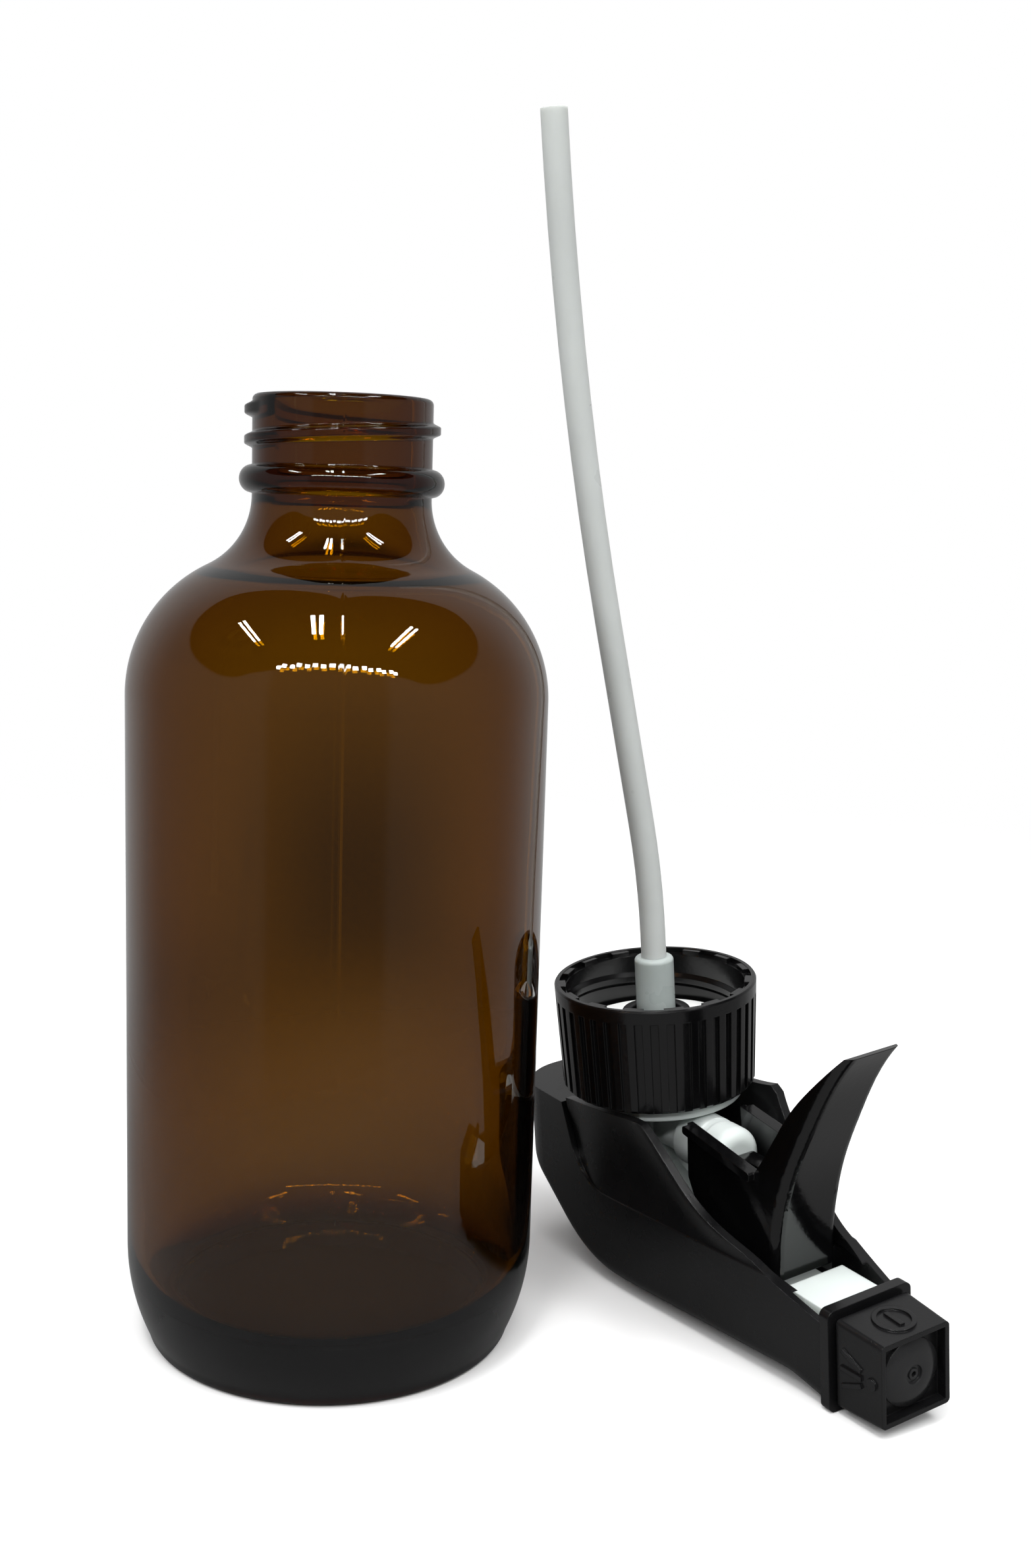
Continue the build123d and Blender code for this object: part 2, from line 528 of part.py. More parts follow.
def hood_form(inset):
    """The hood's solid form; with an inset, the room inside its walls."""
    front = HOOD_FRONT_X + 2 * inset
    with BuildPart() as upper:
        with BuildSketch(Plane.XY.offset(HOOD_BOTTOM_Z - 5)) as plan:
            Polygon(
                (front, HOOD_NOSE_HALF), (2, HOOD_HALF), (HOOD_REAR_X, HOOD_HALF),
                (HOOD_REAR_X, -HOOD_HALF), (2, -HOOD_HALF), (front, -HOOD_NOSE_HALF), align=None,
            )
            fillet(plan.vertices().group_by(Axis.X)[0], radius=8.5)
            fillet(plan.vertices().filter_by(lambda v: abs(v.X - 2) < 1), radius=120)
            if inset:
                offset(amount=-inset)
        extrude(amount=40)
        with BuildSketch(Plane.XZ) as side:
            Polygon(
                (front, HOOD_TOP_Z + 1.9), (40.5, HOOD_TOP_Z), (-5, HOOD_TOP_Z), (HOOD_REAR_X, 32),
                (HOOD_REAR_X, HOOD_BOTTOM_Z), (-9.5, HOOD_BOTTOM_Z), (-5, CREASE_Z),
                (41, CREASE_Z), (front, CREASE_Z + 1.3), align=None,
            )
            fillet(side.vertices().filter_by(lambda v: abs(v.X + 5) < 1 and v.Y > 40), radius=24)
            fillet(side.vertices().filter_by(lambda v: abs(v.X + 5) < 1 and v.Y < 40), radius=9)
            fillet(side.vertices().filter_by(lambda v: abs(v.X - 41) < 1), radius=14)
            if inset:
                offset(amount=-inset)
        extrude(amount=20, both=True, mode=Mode.INTERSECT)
    with BuildPart() as skirt:
        for x, crease_half, waist_half, edge_half, edge_z in SKIRT_SECTIONS:
            crease = crease_half - inset
            waist = waist_half - inset
            edge = edge_half - inset
            waist_z = CREASE_Z - WAIST_SHARE * (CREASE_Z - edge_z)
            with BuildSketch(Plane.YZ.offset(x)):
                with BuildLine():
                    ThreePointArc((crease, CREASE_Z), (waist, waist_z), (edge, edge_z))
                    Line((edge, edge_z), (-edge, edge_z))
                    ThreePointArc((-edge, edge_z), (-waist, waist_z), (-crease, CREASE_Z))
                    Polyline((-crease, CREASE_Z), (-crease, CREASE_Z + 4), (crease, CREASE_Z + 4),
                             (crease, CREASE_Z))
                make_face()
        loft()
        if not inset:
            with BuildSketch(Plane.XZ):
                Polygon((-8.5, SKIRT_REAR_Z), LIP_CORNER, (60, LIP_CORNER[1]), (60, CREASE_Z + 4),
                        (-3.5, CREASE_Z + 4), (-8.5, HOOD_BOTTOM_Z + 1), align=None)
            extrude(amount=20, both=True, mode=Mode.INTERSECT)
    with BuildPart() as form:
        add(upper.part)
        add(skirt.part)
        if not inset:
            with BuildSketch(Plane.XZ):
                with BuildLine():
                    Spline(*LIP_LINE)
                    Polyline(LIP_LINE[-1], (60, LIP_LINE[-1][1]), (60, 5), (LIP_CORNER[0], 5), LIP_CORNER)
                make_face()
            extrude(amount=20, both=True, mode=Mode.SUBTRACT)
    return form.part


def is_top_edge(edge):
    """True on the hood's upper edges, which are rounded over."""
    place = edge.center()
    rear = place.X < -21 and place.Z > 28 and abs((edge % 0.5).Z) < 0.95
    side = place.Z > 38 and abs(place.Y) > 4.5 and abs((edge % 0.5).Z) < 0.9
    return rear or side


with BuildPart() as shroud:
    add(hood_form(0))
    fillet(shroud.edges().filter_by(is_top_edge), radius=EDGE_ROUND)
    add(hood_form(WALL), mode=Mode.SUBTRACT)
    # the open front is closed by a square flange with a round hole for the nozzle's stem
    with BuildSketch(Plane.YZ.offset(HOOD_FRONT_X)):
        with Locations((0, NOZZLE_Z)):
            RectangleRounded(2 * FLANGE_HALF, 2 * FLANGE_HALF, 1.1)
            Circle(4.6, mode=Mode.SUBTRACT)
    extrude(amount=FLANGE_FRONT_X - HOOD_FRONT_X)

# ---- trigger -------------------------------------------------------------------------
# The finger face: a long slanted plate that curls forward at its tip.
FACE = [(36.0, 36.0), (36.7, 27.3), (39.3, 18.4), (43.1, 10.4), (47.0, 3.3), (51.6, -2.8)]


def trigger_form(wall):
    """The trigger's side outline; with a wall, the hollow between its side plates."""
    with BuildSketch(Plane.XZ) as outline:
        with BuildLine():
            face = Spline(*[(x - wall, z) for x, z in FACE])
            if wall:
                Polyline(face @ 1, (40.0, -8.0), (0.0, -8.0), (0.0, 46.0), (38.0, 46.0),
                         (38.0, 36.0), face @ 0)
            else:
                Line(face @ 1, (50.3, -2.6))
                Spline((50.3, -2.6), (44.0, 3.4), (39.2, 8.8), (35.0, 15.2), ARM_FRONT)
                Polyline(ARM_FRONT, ARM_REAR, (ARM_REAR[0], 27.0), (23.0, 42.9),
                         (30.5, 43.4), (36.0, 38.5), (36.0, 36.0))
        make_face()
    return outline.sketch


def trigger_solid(inset):
    """The trigger's solid form; with an inset, the room between its side plates."""
    root = ARM_HALF - inset
    tip = TIP_HALF - inset
    with BuildPart() as form:
        extrude(trigger_form(FINGER_WALL if inset else 0), amount=ARM_HALF, both=True)
        with BuildSketch(Plane.YZ.offset(-5)):
            Polygon((-root, 48), (root, 48), (root, 24), (tip, -9), (-tip, -9), (-root, 24), align=None)
        extrude(amount=60, mode=Mode.INTERSECT)
    return form.part


with BuildPart() as trigger:
    add(trigger_solid(0))
    fillet(trigger.edges().filter_by(lambda e: e.center().X > 40.5 and e.length > 20), radius=1.5)
    add(trigger_solid(ARM_WALL), mode=Mode.SUBTRACT)
    # pusher that bears on the piston's nose
    block(PISTON_NOSE_X + GAP + PUSHER_R, 37.0, 1.5, CHAMBER_Z - PUSHER_R, CHAMBER_Z + PUSHER_R)
    with BuildSketch(Plane.XZ):
        with Locations((PISTON_NOSE_X + GAP + PUSHER_R, CHAMBER_Z)):
            Circle(PUSHER_R)
    extrude(amount=1.5, both=True)
    # thick lip along the lower edge of each side plate
    arm_run = ARM_FRONT[0] - ARM_REAR[0]
    arm_rise = ARM_FRONT[1] - ARM_REAR[1]
    arm_slope = degrees(atan2(arm_rise, arm_run))
    arm_middle = (ARM_REAR[0] + arm_run / 2, ARM_REAR[1] + arm_rise / 2 + ARM_LIP / 2)
    for side in (-1, 1):
        with BuildSketch(Plane.XZ.offset(side * (ARM_HALF + 0.1))):
            with Locations(Location(arm_middle, arm_slope)):
                RectangleRounded(arm_run, ARM_LIP, 0.5)
        extrude(amount=0.8, both=True)
    # holes on the trunnions
    with BuildSketch(Plane.XZ.offset(-10)):
        with Locations((PIVOT_X, PIVOT_Z)):
            Circle(PIVOT_R + FIT)
    extrude(amount=20, mode=Mode.SUBTRACT)

# ---- write the pieces ----------------------------------------------------------------
save(bottle, "bottle")
for name, piece in {
    "closure": closure, "shroud": shroud, "pump_body": pump_body, "gasket": gasket,
    "retaining_ring": retaining_ring, "tube_holder": tube_holder, "dip_tube": dip_tube,
    "inlet_ball": inlet_ball, "trigger": trigger, "piston_seal": piston_seal,
    "return_spring": return_spring, "chamber_plug": chamber_plug, "passage_plug": passage_plug,
    "outlet_valve": outlet_valve, "outlet_spring": outlet_spring, "swirl_insert": swirl_insert,
    "nozzle_seal": nozzle_seal, "nozzle_cap": nozzle_cap,
}.items():
    save(piece, name, SPRAYER_PLACE)
save(piston, "piston", SPRAYER_PLACE * Pos(0, 0, CHAMBER_Z))
save(orifice_disc, "orifice_disc", SPRAYER_PLACE * Pos(0, 0, NOZZLE_Z))
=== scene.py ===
"""Looks for the amber spray bottle and the trigger sprayer lying beside it."""
from math import atan2, cos, degrees, pi, radians, sin, sqrt

import bpy
import bmesh
import numpy as np
from mathutils import Matrix, Vector


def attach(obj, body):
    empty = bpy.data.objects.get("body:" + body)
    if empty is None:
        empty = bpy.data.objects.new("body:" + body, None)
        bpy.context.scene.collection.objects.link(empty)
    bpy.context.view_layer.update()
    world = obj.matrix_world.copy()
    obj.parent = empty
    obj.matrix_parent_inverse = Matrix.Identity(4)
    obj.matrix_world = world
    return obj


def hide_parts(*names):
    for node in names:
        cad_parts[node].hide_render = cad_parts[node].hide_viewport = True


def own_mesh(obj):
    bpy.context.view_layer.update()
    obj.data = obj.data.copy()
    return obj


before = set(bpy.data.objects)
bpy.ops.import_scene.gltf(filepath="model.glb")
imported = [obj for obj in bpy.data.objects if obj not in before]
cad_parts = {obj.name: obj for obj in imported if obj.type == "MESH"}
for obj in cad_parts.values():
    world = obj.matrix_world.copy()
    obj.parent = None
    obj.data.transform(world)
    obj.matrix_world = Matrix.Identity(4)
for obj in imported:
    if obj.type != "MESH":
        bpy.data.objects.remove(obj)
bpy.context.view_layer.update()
MM = 0.001


# ---- camera --------------------------------------------------------------------------
IMAGE_WIDTH, FOCAL = 1565, 2618.8     # the focal length in the same units as the image's width
SENSOR = 36
CAMERA_PLACE = (0.02587, -0.248, 0.12435)
CAMERA_PITCH, CAMERA_ROLL = -0.1622, 0.0318


def aim_camera():
    forward = Vector((0, cos(CAMERA_PITCH), sin(CAMERA_PITCH)))
    right = Vector((1, 0, 0))
    up = right.cross(forward)
    x = cos(CAMERA_ROLL) * right + sin(CAMERA_ROLL) * up
    y = -sin(CAMERA_ROLL) * right + cos(CAMERA_ROLL) * up
    turn = Matrix((x, y, -forward)).transposed().to_4x4()
    data = bpy.data.cameras.new("camera")
    data.sensor_fit = "HORIZONTAL"
    data.sensor_width = SENSOR
    data.lens = SENSOR * FOCAL / IMAGE_WIDTH
    data.clip_start = 0.01
    camera = bpy.data.objects.new("camera", data)
    camera.matrix_world = Matrix.Translation(CAMERA_PLACE) @ turn
    bpy.context.scene.collection.objects.link(camera)
    bpy.context.scene.camera = camera


# ---- node helpers --------------------------------------------------------------------
class Nodes:
    """A short way of building a node tree."""

    def __init__(self, tree):
        self.tree = tree
        tree.nodes.clear()

    def add(self, kind, **settings):
        node = self.tree.nodes.new(kind)
        for key, value in settings.items():
            if hasattr(node, key):
                setattr(node, key, value)
            else:
                self.put(node.inputs[key.replace("_", " ")], value)
        return node

    def put(self, socket, value):
        if isinstance(value, bpy.types.NodeSocket):
            self.tree.links.new(value, socket)
        else:
            socket.default_value = value

    def math(self, operation, *values):
        node = self.tree.nodes.new("ShaderNodeMath")
        node.operation = operation
        for socket, value in zip(node.inputs, values):
            self.put(socket, value)
        return node.outputs[0]

    def smooth(self, value, low, high, to_low=0.0, to_high=1.0):
        node = self.tree.nodes.new("ShaderNodeMapRange")
        node.interpolation_type = "SMOOTHSTEP"
        settings = {
            "Value": value, "From Min": low, "From Max": high, "To Min": to_low, "To Max": to_high,
        }
        for name, setting in settings.items():
            self.put(node.inputs[name], setting)
        return node.outputs["Result"]

    def blend_values(self, factor, a, b):
        return self.math("ADD", self.math("MULTIPLY", a, self.math("SUBTRACT", 1, factor)),
                         self.math("MULTIPLY", b, factor))

    def mix(self, factor, a, b):
        node = self.tree.nodes.new("ShaderNodeMix")
        node.data_type = "RGBA"
        self.put(node.inputs[0], factor)
        self.put(node.inputs[6], a)
        self.put(node.inputs[7], b)
        return node.outputs[2]

    def length(self, a, b):
        squares = self.math("ADD", self.math("MULTIPLY", a, a), self.math("MULTIPLY", b, b))
        return self.math("SQRT", squares)

    def noise(self, vector, scale, detail=3.0, roughness=0.5):
        node = self.tree.nodes.new("ShaderNodeTexNoise")
        self.put(node.inputs["Vector"], vector)
        self.put(node.inputs["Scale"], scale)
        self.put(node.inputs["Detail"], detail)
        self.put(node.inputs["Roughness"], roughness)
        return node.outputs[0]


# ---- world: white to the eye, a dim room with a dark ceiling in the reflections -------
CEILING_EDGE = (      # degrees round from the front, and height of the ceiling's edge there
    (0, 31), (22, 30), (42, 24), (56, 18), (75, 20), (98, 28), (118, 46), (134, 76), (180, 90),
)
CEILING_LEVEL = 0.02
FRONT_LEVEL, SIDE_LEVEL, BACK_RISE = 0.17, 0.27, 0.22
FRONT_EDGE, BACK_EDGE = (0.5, 0.62), (1.7, 2.4)     # radians round from the front
# the wall seen through the glass: its level, and the place, size and level of its dark spot
WALL_LEVEL, DARK_LEVEL = 0.27, 0.085
DARK_ASIDE, DARK_WIDTH = -0.088, 0.11               # tangents of the angle from straight behind
DARK_HEIGHT, DARK_DEPTH = -0.215, 0.10              # radians up
FOOT_EDGE, FOOT_SHARE = (-0.32, -0.22), 0.55        # below this the wall dims to a share


def make_world():
    world = bpy.data.worlds.new("studio")
    bpy.context.scene.world = world
    world.use_nodes = True
    n = Nodes(world.node_tree)
    where = n.add("ShaderNodeTexCoord").outputs["Generated"]
    xyz = n.add("ShaderNodeSeparateXYZ", Vector=where).outputs
    azimuth = n.math("ABSOLUTE", n.math("ARCTAN2", xyz[0], n.math("MULTIPLY", xyz[1], -1)))
    height = n.math("ARCSINE", xyz[2])
    edge = n.tree.nodes.new("ShaderNodeFloatCurve")
    curve = edge.mapping.curves[0]
    points = [(a / 180, h / 90) for a, h in CEILING_EDGE]
    curve.points[0].location = points[0]
    curve.points[1].location = points[-1]
    for p in points[1:-1]:
        curve.points.new(*p)
    edge.mapping.update()
    n.put(edge.inputs["Value"], n.math("DIVIDE", azimuth, pi))
    limit = n.math("MULTIPLY", edge.outputs[0], pi / 2)
    ceiling = n.smooth(n.math("SUBTRACT", height, limit), -0.01, 0.03)
    front = n.smooth(azimuth, *FRONT_EDGE, FRONT_LEVEL, SIDE_LEVEL)
    side = n.smooth(azimuth, *BACK_EDGE, 0.0, BACK_RISE)
    low = n.smooth(height, -0.5, 0.1, -0.05, 0.0)
    room = n.math("ADD", n.math("ADD", front, side), low)
    level = n.blend_values(ceiling, room, CEILING_LEVEL)
    aside = n.math("DIVIDE", xyz[0], n.math("MAXIMUM", xyz[1], 0.05))
    across = n.math("DIVIDE", n.math("SUBTRACT", aside, DARK_ASIDE), DARK_WIDTH)
    upward = n.math("DIVIDE", n.math("SUBTRACT", height, DARK_HEIGHT), DARK_DEPTH)
    backdrop = n.smooth(n.length(across, upward), 0.0, 1.5, DARK_LEVEL, WALL_LEVEL)
    through = n.math("MULTIPLY", backdrop, n.smooth(height, *FOOT_EDGE, FOOT_SHARE, 1.0))
    rays = n.add("ShaderNodeLightPath").outputs
    level = n.blend_values(rays["Is Transmission Ray"], level, through)
    strength = n.blend_values(rays["Is Camera Ray"], level, 1.0)
    back = n.add("ShaderNodeBackground", Color=(1, 1, 1, 1), Strength=strength)
    n.tree.links.new(back.outputs[0], n.add("ShaderNodeOutputWorld").inputs["Surface"])


CEILING_RISE = 1.0
TUBE_PAIRS = (      # x, and the y of both ends
    (-0.80, -0.16, -0.62), (-0.14, -0.27, -0.61), (0.645, -0.2, -0.68),
)
TUBE_APART, TUBE_WIDTH, TUBE_POWER = 0.064, 0.034, 2.2
ROW_COUNT, ROW_START, ROW_STEP, ROW_Y = 17, -0.80, 0.119, -1.42
ROW_SIZE, ROW_POWER = (0.075, 0.085), 0.8


def area(name, place, towards, size, power, seen=True):
    data = bpy.data.lights.new(name, "AREA")
    data.shape = "RECTANGLE"
    data.size, data.size_y = size
    data.energy = power
    light = bpy.data.objects.new(name, data)
    light.location = place
    light.rotation_euler = (Vector(towards) - Vector(place)).to_track_quat("-Z", "Y").to_euler()
    light.visible_camera = False
    light.visible_glossy = seen
    light.visible_transmission = seen
    bpy.context.scene.collection.objects.link(light)
    return light


def make_lights():
    # ceiling fittings: three pairs of tubes that run front to back, and a row across the front
    for i, (x, near_y, far_y) in enumerate(TUBE_PAIRS):
        for aside in (-TUBE_APART / 2, TUBE_APART / 2):
            place = (x + aside, (near_y + far_y) / 2, CEILING_RISE + 0.1)
            below = (place[0], place[1], 0)
            size = (TUBE_WIDTH, near_y - far_y)
            light = area(f"tube_{i}_{aside > 0}", place, below, size, TUBE_POWER)
            light.rotation_euler = (0, 0, 0)
    for i in range(ROW_COUNT):
        place = (ROW_START + i * ROW_STEP, ROW_Y + 0.05 * (i % 2), CEILING_RISE + 0.05)
        area(f"row_{i}", place, (0, 0, 0), ROW_SIZE, ROW_POWER)
    # broad soft light that models the shapes without showing in the glass
    area("soft_top", (0.1, -0.25, 1.1), (0.03, 0, 0.05), (1.4, 1.4), 16, seen=False)
    area("soft_left", (-0.9, -0.5, 0.6), (0.03, 0, 0.06), (0.9, 0.9), 4, seen=False)


FLOOR_PLACE, FLOOR_R = (0.03, 0.0, 0), 0.9
# distances over which the floor fades out, and its tone: to the eye, and to every other ray; the dark
# tone to every other ray is painted shade, for the dim room and shadow seen through the glass
EYE_FADE, OTHER_FADE = (0.12, 0.5), (0.1, 0.26)
EYE_TONE, SHADED_OTHER_TONE = (0.86, 0.86, 0.86, 1), (0.17, 0.17, 0.17, 1)


def make_floor():
    mesh = bpy.data.meshes.new("floor")
    bm = bmesh.new()
    bmesh.ops.create_circle(bm, cap_ends=True, segments=96, radius=FLOOR_R)
    bm.to_mesh(mesh)
    bm.free()
    floor = bpy.data.objects.new("floor", mesh)
    floor.location = FLOOR_PLACE
    bpy.context.scene.collection.objects.link(floor)
    material = bpy.data.materials.new("floor")
    material.use_nodes = True
    n = Nodes(material.node_tree)
    spot = n.add("ShaderNodeTexCoord").outputs["Object"]
    far = n.add("ShaderNodeVectorMath", operation="LENGTH")
    n.put(far.inputs[0], spot)
    eye = n.add("ShaderNodeLightPath").outputs["Is Camera Ray"]
    distance = far.outputs["Value"]
    fade = n.blend_values(eye, n.smooth(distance, *OTHER_FADE), n.smooth(distance, *EYE_FADE))
    paper = n.noise(spot, scale=900, detail=2)
    bump = n.add("ShaderNodeBump", Strength=0.05, Distance=0.0001, Height=paper)
    # painted shade: the floor is pale to the camera and dark to every other ray
    tone = n.mix(eye, SHADED_OTHER_TONE, EYE_TONE)
    surface = n.add("ShaderNodeBsdfPrincipled", Base_Color=tone, Roughness=0.75, Normal=bump.outputs[0])
    surface.inputs["Specular IOR Level"].default_value = 0.2
    clear = n.add("ShaderNodeBsdfTransparent")
    mixer = n.tree.nodes.new("ShaderNodeMixShader")
    n.put(mixer.inputs[0], fade)
    n.tree.links.new(surface.outputs[0], mixer.inputs[1])
    n.tree.links.new(clear.outputs[0], mixer.inputs[2])
    n.tree.links.new(mixer.outputs[0], n.add("ShaderNodeOutputMaterial").inputs["Surface"])
    mesh.materials.append(material)


# ---- materials -----------------------------------------------------------------------
def new_material(name):
    material = bpy.data.materials.new(name)
    material.use_nodes = True
    n = Nodes(material.node_tree)
    shader = n.add("ShaderNodeBsdfPrincipled")
    n.tree.links.new(shader.outputs[0], n.add("ShaderNodeOutputMaterial").inputs["Surface"])
    return material, n, shader


def set_shader(shader, **values):
    for key, value in values.items():
        shader.inputs[key.replace("_", " ")].default_value = value


GLASS_TINT, GLASS_IOR = (0.98, 0.88, 0.55, 1), 1.52
GLASS_COLOUR, GLASS_DENSITY = (0.868, 0.780, 0.0, 1), 1900


def amber_glass():
    material, n, shader = new_material("amber_glass")
    spot = n.add("ShaderNodeTexCoord").outputs["Object"]
    set_shader(shader, Base_Color=GLASS_TINT, Roughness=0.0, IOR=GLASS_IOR, Transmission_Weight=1.0)
    wave = n.noise(spot, scale=45, detail=2)
    bump = n.add("ShaderNodeBump", Strength=0.25, Distance=0.0002, Height=wave)
    n.put(shader.inputs["Normal"], bump.outputs[0])
    smear = n.noise(spot, scale=60, detail=5, roughness=0.6)
    n.put(shader.inputs["Roughness"], n.smooth(smear, 0.45, 0.75, 0.004, 0.03))
    absorb = n.add("ShaderNodeVolumeAbsorption")
    absorb.inputs["Color"].default_value = GLASS_COLOUR
    absorb.inputs["Density"].default_value = GLASS_DENSITY
    output = next(node for node in n.tree.nodes if node.type == "OUTPUT_MATERIAL")
    n.tree.links.new(absorb.outputs[0], output.inputs["Volume"])
    return material


def moulded(name, colour, rough, bump_size=0.00002, grain=1400, bevel=0.0, tint=0.25,
            subsurface=0.0, level=0.5):
    """Moulded plastic, rubber, foam or metal: fine grain, slightly uneven gloss and colour."""
    material, n, shader = new_material(name)
    spot = n.add("ShaderNodeTexCoord").outputs["Object"]
    set_shader(shader, IOR=1.5, Specular_IOR_Level=level)
    if subsurface:
        set_shader(shader, Subsurface_Weight=subsurface, Subsurface_Scale=0.002)
        set_shader(shader, Subsurface_Radius=(1.0, 1.0, 0.9))
    drift = n.noise(spot, scale=38, detail=4, roughness=0.55)
    shade = n.smooth(drift, 0.3, 0.7)
    low = tuple(c * (1 - tint) for c in colour) + (1,)
    high = tuple(min(1, c * (1 + tint)) for c in colour) + (1,)
    n.put(shader.inputs["Base Color"], n.mix(shade, low, high))
    flow = n.noise(spot, scale=160)
    n.put(shader.inputs["Roughness"], n.smooth(flow, 0.3, 0.7, rough * 0.85, rough * 1.18))
    fine = n.noise(spot, scale=grain)
    bump = n.add("ShaderNodeBump", Strength=0.6, Distance=bump_size, Height=fine)
    if bevel:
        rounding = n.add("ShaderNodeBevel", Radius=bevel)
        rounding.samples = 4
        n.put(bump.inputs["Normal"], rounding.outputs[0])
    n.put(shader.inputs["Normal"], bump.outputs[0])
    return material


# ---- the sprayer's own frame: +X to the nozzle, +Z away from the dip tube, in millimetres ----
SPRAYER_PLACE, SPRAYER_HEADING, SPRAYER_TIP = (0.0491, 0.0193, 0.05005), -58.9, 186
SPRAYER_FRAME = Matrix.Translation(SPRAYER_PLACE)
SPRAYER_FRAME @= Matrix.Rotation(radians(SPRAYER_HEADING), 4, "Z")
SPRAYER_FRAME @= Matrix.Rotation(radians(SPRAYER_TIP), 4, "X")


def own_point(x, y, z):
    return tuple(SPRAYER_FRAME @ Vector((x * MM, y * MM, z * MM)))


# ---- bottle --------------------------------------------------------------------------
BODY_R, BOTTLE_H, HEEL_TOP, HEEL_R, HEEL_SWEEP = 30.25, 138.1, 14.4, 29.9, 25.0
SHOULDER_Z, SHOULDER_R, FLARE_R, NECK_R, BORE_R = 95.8, 20.7, 11.1, 12.7, 9.6
BEAD_Z, BEAD_HALF, PITCH, THREAD_R = BOTTLE_H - 11.7, 2.0, 4.23, 13.8
THREAD_START, THREAD_DROP, THREAD_TURNS = 160, 6.7, 1.15
WALL, BASE_Z = 2.3, 18                      # body wall, and where the inside turns in to the base
SEAM_ANGLES = (-83, 97)                     # mould seams, degrees round the bottle
SEAM_HALF, SEAM_RISE = 0.28, 0.05
SEAM_BESIDE = (-1.2, -0.7, -0.35, -0.15, 0, 0.15, 0.35, 0.7, 1.2)     # degrees either side of a seam
SEAM_LOW, SEAM_END_R = 3, NECK_R - 2        # the seams stop above the foot, and inside on the base
THREAD_LOW = BOTTLE_H - 9.5
RIM_R = 0.8


def arc(centre_r, centre_z, radius, start, end, count):
    """Points along an arc from one angle to another, in degrees."""
    angles = [radians(start + (end - start) * i / count) for i in range(count + 1)]
    return [(centre_r + radius * cos(a), centre_z + radius * sin(a)) for a in angles]


def smooth_line(points, step):
    """Points along a Catmull-Rom curve, about a step apart."""
    pts = [Vector(p) for p in points]
    pts = [pts[0] * 2 - pts[1]] + pts + [pts[-1] * 2 - pts[-2]]
    out = []
    for a, b, c, d in zip(pts, pts[1:], pts[2:], pts[3:]):
        count = max(2, int((c - b).length / step))
        for i in range(count):
            t = i / count
            out.append(tuple(0.5 * (2 * b + (c - a) * t + (2 * a - 5 * b + 4 * c - d) * t * t
                                    + (3 * b - a - 3 * c + d) * t ** 3)))
    out.append(tuple(pts[-2]))
    return out


def bottle_profile():
    """Outside from the middle of the base up to the rim, then down the inside to the middle."""
    scr, ncr = BODY_R - SHOULDER_R, NECK_R + FLARE_R
    ncz = SHOULDER_Z + sqrt((SHOULDER_R + FLARE_R) ** 2 - (ncr - scr) ** 2)
    lean = degrees(atan2(ncz - SHOULDER_Z, ncr - scr))
    foot_r = BODY_R - HEEL_R + HEEL_R * cos(radians(HEEL_SWEEP))
    foot_h = HEEL_TOP - HEEL_R * sin(radians(HEEL_SWEEP))
    out = smooth_line([(0, 1.8), (8, 1.75), (16, 1.45), (21, 0.95), (foot_r - 4.4, 0.5),
                       (foot_r - 3.6, 0.06), (foot_r - 2.6, 0.0), (foot_r - 1.5, 0.02),
                       (foot_r - 0.75, 0.25), (foot_r - 0.3, 0.8), (foot_r, foot_h)], 0.5)
    out += arc(BODY_R - HEEL_R, HEEL_TOP, HEEL_R, -HEEL_SWEEP, 0, 26)[1:]
    out += [(BODY_R, HEEL_TOP + (SHOULDER_Z - HEEL_TOP) * i / 24) for i in range(1, 24)]
    out += arc(scr, SHOULDER_Z, SHOULDER_R, 0, lean, 44)
    out += arc(ncr, ncz, FLARE_R, 180 + lean, 180, 22)[1:]
    low = out[-1][1]
    top = BOTTLE_H - RIM_R
    count = int((top - low) / 0.16)          # fine rows, so that the thread and the bead come out
    for i in range(1, count + 1):
        z = low + (top - low) * i / count
        bead = sqrt(max(0, BEAD_HALF ** 2 - (z - BEAD_Z) ** 2)) * 0.95
        r = NECK_R + max(0, bead - 0.1)
        out.append((r, z))
    edge = np.linspace(0.2, pi / 2, 6)
    out += [(NECK_R - RIM_R + RIM_R * cos(a), top + RIM_R * sin(a)) for a in edge]
    edge = np.linspace(pi / 2, 0, 7)
    out += [(BORE_R + RIM_R - RIM_R * cos(a), top + RIM_R * sin(a)) for a in edge]
    # the inside follows the outside at an even thickness, and thickens in the neck and the base
    inner = arc(scr, SHOULDER_Z, SHOULDER_R - WALL, 0, lean, 30)
    inner += arc(ncr, ncz, FLARE_R + WALL + 0.2, 180 + lean, 186, 18)
    bore = [(BORE_R, top - 1.5), (BORE_R, 132), (BORE_R, 127), (9.75, 124.6)]
    out += smooth_line(bore + inner[:20:-3], 0.9)
    out += list(reversed(inner[:21]))
    out += [(BODY_R - WALL, SHOULDER_Z - (SHOULDER_Z - BASE_Z) * i / 24) for i in range(1, 24)]
    out += smooth_line([(BODY_R - WALL, BASE_Z), (27.85, 14.0), (27.3, 11.2), (26.0, 9.3),
                        (23.5, 8.2), (18, 7.7), (10, 7.4), (0, 7.3)], 0.9)
    return out


def ridge(z, angle):
    """How far the thread stands out at a height and an angle round the neck."""
    start = radians(THREAD_START)
    total = 2 * pi * THREAD_TURNS
    height = 0.0
    for turn in (-1, 0, 1, 2):
        along = (angle - start) + 2 * pi * turn
        if not 0 <= along <= total:
            continue
        middle = BOTTLE_H - THREAD_DROP + PITCH * along / (2 * pi)
        ease = min(1.0, along / 0.5, (total - along) / 0.5)
        ease = ease * ease * (3 - 2 * ease)
        off = abs(z - middle)
        side = min(1.0, max(0.0, (1.15 - off) / 0.7))
        side = side * side * (3 - 2 * side)
        height = max(height, (THREAD_R - NECK_R) * ease * side)
    return height


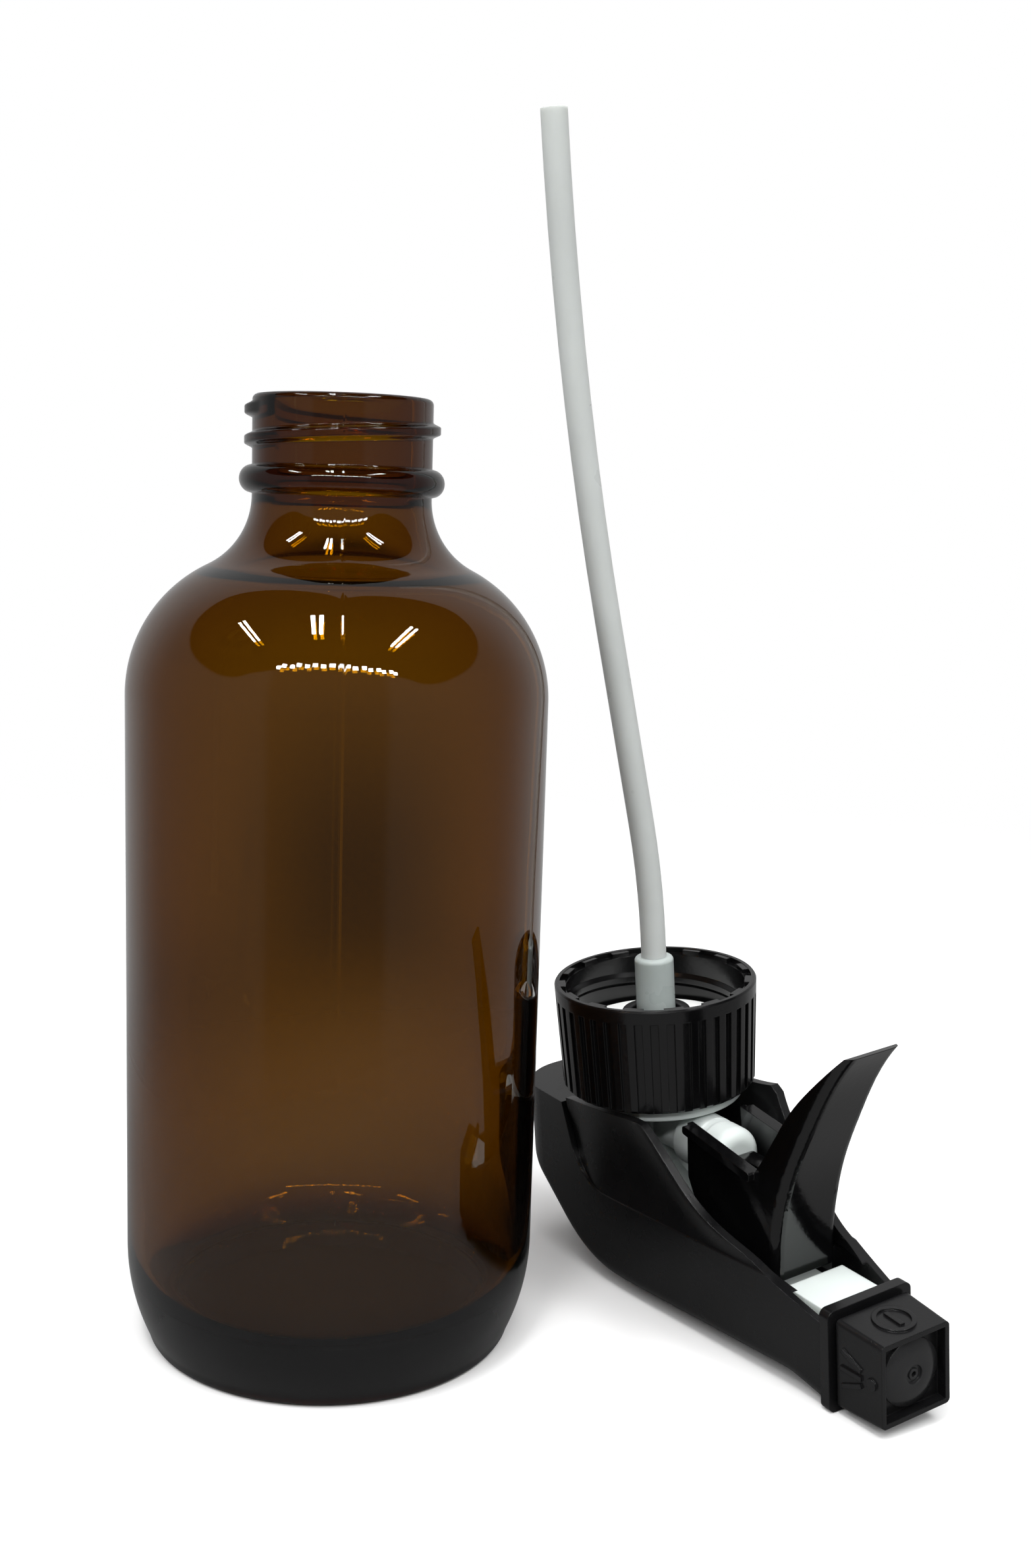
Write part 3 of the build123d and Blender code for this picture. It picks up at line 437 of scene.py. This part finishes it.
def make_bottle():
    profile = bottle_profile()
    seams = [radians(a) for a in SEAM_ANGLES]
    angles = list(np.arange(0, 2 * pi, 2 * pi / 192))
    for seam in seams:
        angles += [seam % (2 * pi) + radians(d) for d in SEAM_BESIDE]
    angles = sorted(set(round(a % (2 * pi), 6) for a in angles))
    last_seam_row = max(i for i, (r, z) in enumerate(profile) if r > SEAM_END_R)
    verts, faces = [(0, 0, profile[0][1] * MM)], []
    for i, (r, z) in enumerate(profile[1:-1], start=1):
        for a in angles:
            reach = r
            if z > THREAD_LOW and r > NECK_R - 0.5:
                reach += ridge(z, a)
            if i <= last_seam_row and z > SEAM_LOW:
                off = min(abs((a - s + pi) % (2 * pi) - pi) for s in seams) * r
                reach += SEAM_RISE * max(0.0, 1 - off / SEAM_HALF)
            verts.append((reach * cos(a) * MM, reach * sin(a) * MM, z * MM))
    verts.append((0, 0, profile[-1][1] * MM))
    count = len(angles)
    rows = len(profile) - 2
    for k in range(count):
        faces.append((0, 1 + (k + 1) % count, 1 + k))
        for row in range(rows - 1):
            a = 1 + row * count + k
            b = 1 + row * count + (k + 1) % count
            faces.append((a, b, b + count, a + count))
        last = 1 + (rows - 1) * count
        faces.append((last + k, last + (k + 1) % count, len(verts) - 1))
    mesh = bpy.data.meshes.new("bottle_glass")
    mesh.from_pydata(verts, [], faces)
    mesh.shade_smooth()
    mesh.update()
    glass = bpy.data.objects.new("bottle_glass", mesh)
    bpy.context.scene.collection.objects.link(glass)
    mesh.materials.append(amber_glass())
    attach(glass, "bottle")
    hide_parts("bottle")


def make_spring(node, start, end, radius, wire, turns, material):
    """A coil spring drawn between two points on its axis, kept a wire's thickness inside both ends."""
    start, end = Vector(start), Vector(end)
    along = (end - start).normalized()
    across = along.orthogonal().normalized()
    third = along.cross(across)
    length = (end - start).length - 2 * wire
    steps, sides = int(turns * 40), 10
    verts, faces = [], []
    for i in range(steps + 1):
        # the ends are closed coils: the pitch eases off at both
        share = i / steps
        lift = length * (share * share * (3 - 2 * share) * 0.5 + share * 0.5)
        angle = 2 * pi * turns * share
        outward = cos(angle) * across + sin(angle) * third
        centre = start + along * (wire + lift) + outward * radius
        for k in range(sides):
            a = 2 * pi * k / sides
            verts.append(centre + wire * (cos(a) * outward + sin(a) * along))
    for i in range(steps):
        for k in range(sides):
            a, b = i * sides + k, i * sides + (k + 1) % sides
            faces.append((a, a + sides, b + sides, b))
    faces.append(tuple(range(sides)))
    faces.append(tuple(steps * sides + k for k in reversed(range(sides))))
    mesh = bpy.data.meshes.new(node + "_coil")
    mesh.from_pydata([tuple(v) for v in verts], [], faces)
    mesh.shade_smooth()
    spring = bpy.data.objects.new(node + "_coil", mesh)
    bpy.context.scene.collection.objects.link(spring)
    mesh.materials.append(material)
    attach(spring, "sprayer")
    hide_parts(node)
    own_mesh(spring)


def dress(node, material):
    """Gives a CAD node its finished material."""
    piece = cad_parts[node]
    piece.data.materials.clear()
    piece.data.materials.append(material)


aim_camera()
make_world()
make_lights()
make_floor()
make_bottle()

black = moulded("black_plastic", (0.0045, 0.0045, 0.0048), 0.27, bevel=0.00022, level=0.42)
ribbed_black = moulded("black_closure", (0.003, 0.003, 0.0032), 0.20, bevel=0.00018, level=0.46)
# painted highlight: the orifice disc is the same black plastic, given a lighter black to read brighter
highlight_disc_black = moulded("black_disc_painted_highlight", (0.012, 0.012, 0.0125), 0.24, bevel=0.00015)
glossy_black = moulded("black_gloss", (0.002, 0.002, 0.0022), 0.11, bevel=0.00018)
white = moulded("white_plastic", (0.62, 0.67, 0.65), 0.36, bump_size=0.00001, tint=0.05,
                bevel=0.0003, subsurface=0.35)
tube = moulded("natural_tube", (0.55, 0.575, 0.56), 0.32, bump_size=0.00001, tint=0.05,
               subsurface=0.5)
spigot = moulded("natural_spigot", (0.37, 0.41, 0.40), 0.3, bump_size=0.00001, tint=0.05,
                 subsurface=0.5)
foam = moulded("gasket_foam", (0.82, 0.83, 0.82), 0.7, tint=0.04, grain=2600)
rubber = moulded("seal_rubber", (0.02, 0.02, 0.02), 0.55)
steel = moulded("spring_steel", (0.6, 0.6, 0.6), 0.25, tint=0.05)
steel.node_tree.nodes["Principled BSDF"].inputs["Metallic"].default_value = 1.0
FINISHES = {
    "closure": ribbed_black, "shroud": black, "trigger": glossy_black, "nozzle_cap": black,
    "orifice_disc": highlight_disc_black, "retaining_ring": black, "pump_body": white, "piston": white,
    "chamber_plug": white, "passage_plug": white, "outlet_valve": white, "swirl_insert": white,
    "tube_holder": spigot, "dip_tube": tube, "gasket": foam, "piston_seal": rubber,
    "nozzle_seal": rubber, "inlet_ball": steel,
}
for name, material in FINISHES.items():
    dress(name, material)

make_spring("return_spring", own_point(-5.1, 0, 23.8), own_point(8.8, 0, 23.8),
            radius=0.0020, wire=0.0003, turns=7, material=steel)
make_spring("outlet_spring", own_point(46.4, 0, 41.8), own_point(42.7, 0, 41.8),
            radius=0.0012, wire=0.0002, turns=5, material=steel)

bpy.context.scene.view_settings.view_transform = "Standard"
